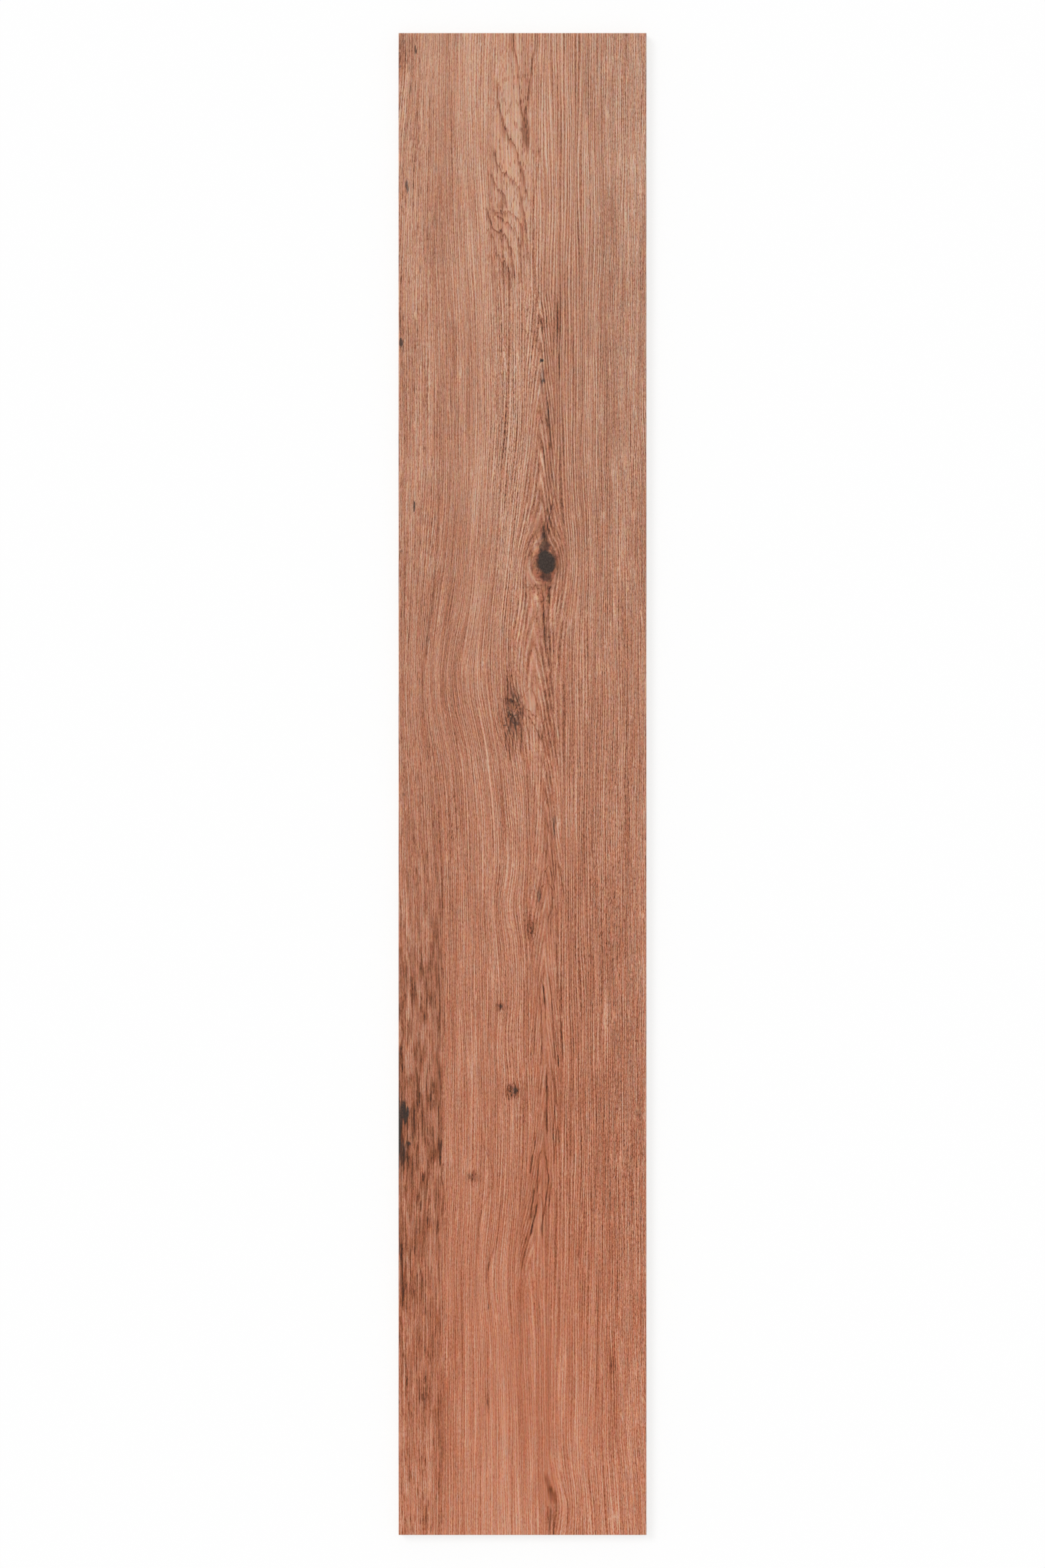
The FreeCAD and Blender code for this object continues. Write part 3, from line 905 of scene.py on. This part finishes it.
def makePlank():
    fullSize = (size.x, size.y)
    backSize = (size.x - 2 * plank["backArris"], size.y - 2 * plank["backArris"])
    bpy.ops.object.select_all(action="DESELECT")
    bpy.ops.mesh.primitive_grid_add(x_subdivisions=plank["columns"], y_subdivisions=plank["rows"],
                                    size=1, location=(0, 0, highCorner.z))
    made = bpy.context.object
    made.name = "plank_tile_printed"
    made.data.name = made.name
    bpy.ops.object.transform_apply(location=True, rotation=True, scale=True)
    bpy.ops.object.mode_set(mode="EDIT")
    bpy.ops.transform.resize(value=(faceSize[0], faceSize[1], 1))
    bpy.ops.mesh.select_mode(type="EDGE")
    bpy.ops.mesh.region_to_loop()  # the face's outline
    outlineDown(plank["faceBevel"], faceSize, fullSize)
    outlineDown(size.z - plank["faceBevel"] - plank["backArris"], fullSize, fullSize)
    outlineDown(plank["backArris"], fullSize, backSize)
    # waffle back
    bpy.ops.mesh.select_all(action="DESELECT")
    bpy.ops.mesh.select_mode(type="FACE")
    cells, pitch = plank["ribCells"], plank["ribPitch"]
    bpy.ops.mesh.primitive_grid_add(x_subdivisions=cells[0], y_subdivisions=cells[1],
                                    size=1, location=(0, 0, 0))
    bpy.ops.transform.resize(value=(cells[0] * pitch, cells[1] * pitch, 1))
    bpy.ops.mesh.flip_normals()
    bpy.ops.mesh.inset(thickness=plank["ribWidth"] / 2, use_individual=True, use_boundary=True)
    wall = plank["ribHeight"] * math.tan(math.radians(plank["ribDraft"]))
    bpy.ops.mesh.inset(thickness=wall, depth=-plank["ribHeight"], use_individual=True)
    # border between the waffle and the arris
    bpy.ops.mesh.select_mode(type="EDGE")
    bpy.ops.mesh.select_all(action="DESELECT")
    bpy.ops.mesh.select_non_manifold(extend=False, use_wire=False, use_boundary=True, use_multi_face=False,
                                     use_non_contiguous=False, use_verts=False)
    bpy.ops.mesh.fill(use_beauty=True)
    bpy.ops.mesh.select_all(action="SELECT")
    bpy.ops.mesh.normals_make_consistent(inside=False)
    bpy.ops.object.mode_set(mode="OBJECT")
    print("plank: vertices", len(made.data.vertices), "faces", len(made.data.polygons))
    return made


def sideOf(part):  # the side that a polygon belongs to
    x, y, z = part.normal
    if abs(z) > plank["flat"]:
        return "face" if z > 0 else "back"
    if abs(x) > abs(y):
        return "left" if x < 0 else "right"
    return "near" if y < 0 else "far"


def printPlank(made):  # a material for each stretch of the face, then the edges' and the back's
    stretches = plank["stretches"]
    stretch = size.y / stretches
    for number in range(stretches):
        low = (lowCorner.y + number * stretch) * 1000
        made.data.materials.append(printedFace(number + 1, (low, low + stretch * 1000)))
    made.data.materials.append(groundEdge((size.z - plank["faceBevel"]) * 1000))
    made.data.materials.append(pressedBack())
    for part in made.data.polygons:
        side = sideOf(part)
        if side == "face":
            part.material_index = min(int((part.center.y - lowCorner.y) / stretch), stretches - 1)
        else:
            part.material_index = stretches + (side == "back")
    print("plank printed")


def layOut(made):  # the texture map, with each side where bakeMap puts it
    mesh = made.data
    while mesh.uv_layers:
        mesh.uv_layers.remove(mesh.uv_layers[0])
    layer = mesh.uv_layers.new(name="OFBake")
    for part in mesh.polygons:
        strips = bakeMap[sideOf(part)]
        for corner in part.loop_indices:
            at = mesh.vertices[mesh.loops[corner].vertex_index].co - lowCorner
            spot = [start + length * at[axis] / size[axis] for start, length, axis in strips]
            layer.data[corner].uv = spot
    print("map laid out")


def pressGrain(made):  # shallow grooves along the printed grain and hollows at its knots
    tree = bpy.data.node_groups.new("pressedGrain", "GeometryNodeTree")
    tree.interface.new_socket("Geometry", in_out="INPUT", socket_type="NodeSocketGeometry")
    tree.interface.new_socket("Geometry", in_out="OUTPUT", socket_type="NodeSocketGeometry")
    top = Wire(tree)
    shape = top.node("NodeGroupInput", {}, {})
    start = top.node("GeometryNodeInputPosition", {}, {})
    wood = woodFlow(start, (-700, 700))  # the whole plank
    dent = soft(streaks(wood["flow"], "slowBands"), 0.56, 0.3) * plank["bandDents"]
    dent = dent + soft(streaks(wood["flow"], "darkBreaks"), 0.42, 0.68) * plank["lineDents"]
    for at, reach, _ in woodFigure["partings"]:
        hollow = [length * plank["knotSize"] for length in reach]
        dent = dent.plus(bell(wood["place"], at, hollow), plank["knotDents"])
    for axis, whole, fade in zip("xy", faceSize, plank["grainFade"]):
        dent = dent * soft(abs(wood[axis]), whole * 500, whole * 500 - fade)
    z = start.node("SeparateXYZ", {}, {0: start}, "Z")
    dent = dent * z.math("GREATER_THAN", z, highCorner.z - 0.0001)
    down = dent.node("CombineXYZ", {}, {2: dent * -plank["grainDepth"]})
    shape = shape.node("GeometryNodeSetPosition", {}, {"Geometry": shape, "Offset": down})
    shape.node("NodeGroupOutput", {}, {0: shape})
    bpy.ops.object.modifier_add(type="NODES")
    made.modifiers[-1].node_group = tree
    bpy.ops.object.modifier_apply(modifier=made.modifiers[-1].name)
    print("grain pressed")


tile = makePlank()
printPlank(tile)
layOut(tile)
pressGrain(tile)
bpy.ops.object.shade_smooth_by_angle(angle=math.radians(30))
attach(tile, "root")
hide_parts("plank_tile")
print("plank dressed")


# floor, light and camera

studio = {
    "floorSize": 12.0,
    "floorDrop": 0.0002,  # below the rib crests
    "floorLap": 0.001,  # the floor goes this far in under the plank
    "floorGlow": 0.7,  # how much of the white that is seen is its own
    "worldLight": 0.72,
    "sunPower": 1.15,
    "sunTurn": (-25, -35, 0),  # degrees off straight down
    "sunSpread": 25,
    "lens": 100.0,  # millimetres
    "sensor": 36,
    "frameLong": 1.2526,  # metres of the face's plane along the picture's long side
}


def seenRay(top):  # 1 for what the camera sees, straight or by way of a sheen
    ray = top.node("LightPath", {}, {}, "Is Camera Ray")
    for name in ("Is Glossy Ray", "Is Transmission Ray"):
        ray = ray.math("MAXIMUM", ray, top.node("LightPath", {}, {}, name))
    return ray


def makeFloor():
    bpy.ops.object.select_all(action="DESELECT")
    bpy.ops.mesh.primitive_plane_add(size=studio["floorSize"],
                                     location=(0, 0, lowCorner.z - studio["floorDrop"]))
    floor = bpy.context.object
    floor.name = "studioFloor"
    made, top = newMaterial("whiteFloor")
    matt = top.node("BsdfDiffuse", {}, {"Color": (0.99, 0.99, 0.99, 1)})
    white = top.node("Emission", {}, {"Color": (1, 1, 1, 1), "Strength": 1.0})
    both = matt.node("MixShader", {}, {0: seenRay(top) * studio["floorGlow"], 1: matt, 2: white})
    # clear from below and under the plank, so that its back can be seen and is lit
    x, y = parts(top.node("TexCoord", {}, {}, "Object"))
    covered = x.math("LESS_THAN", abs(x), size.x / 2 - studio["floorLap"])
    covered = covered * y.math("LESS_THAN", abs(y), size.y / 2 - studio["floorLap"])
    below = top.node("NewGeometry", {}, {}, "Backfacing")
    gap = below.math("MAXIMUM", below, covered)
    clear = top.node("BsdfTransparent", {}, {})
    both = both.node("MixShader", {}, {0: gap, 1: both, 2: clear})
    both.node("OutputMaterial", {}, {"Surface": both})
    floor.data.materials.append(made)


def makeWorld():
    world = bpy.data.worlds.new("studioWorld")
    bpy.context.scene.world = world
    world.use_nodes = True
    world.node_tree.nodes.clear()
    top = Wire(world.node_tree)
    level = studio["worldLight"]
    strength = seenRay(top) * (1 - level) + level  # white where it is seen
    glow = top.node("Background", {}, {"Color": (1, 1, 1, 1), "Strength": strength})
    glow.node("OutputWorld", {}, {"Surface": glow})


def makeLamp():  # a wide soft sun from the left and the far end
    bpy.ops.object.light_add(type="SUN", rotation=[math.radians(turn) for turn in studio["sunTurn"]])
    lamp = bpy.context.object
    lamp.name = "softSun"
    lamp.data.energy = studio["sunPower"]
    lamp.data.angle = math.radians(studio["sunSpread"])


def makeCamera():  # straight above the plank
    away = studio["frameLong"] * studio["lens"] / studio["sensor"]
    bpy.ops.object.camera_add(location=(0, 0, highCorner.z + away), rotation=(0, 0, 0))
    camera = bpy.context.object
    camera.data.lens = studio["lens"]
    camera.data.sensor_width = studio["sensor"]
    camera.data.clip_end = 50
    bpy.context.scene.camera = camera


makeFloor()
makeWorld()
makeLamp()
makeCamera()
bpy.context.scene.view_settings.view_transform = "Standard"
print("studio ready")
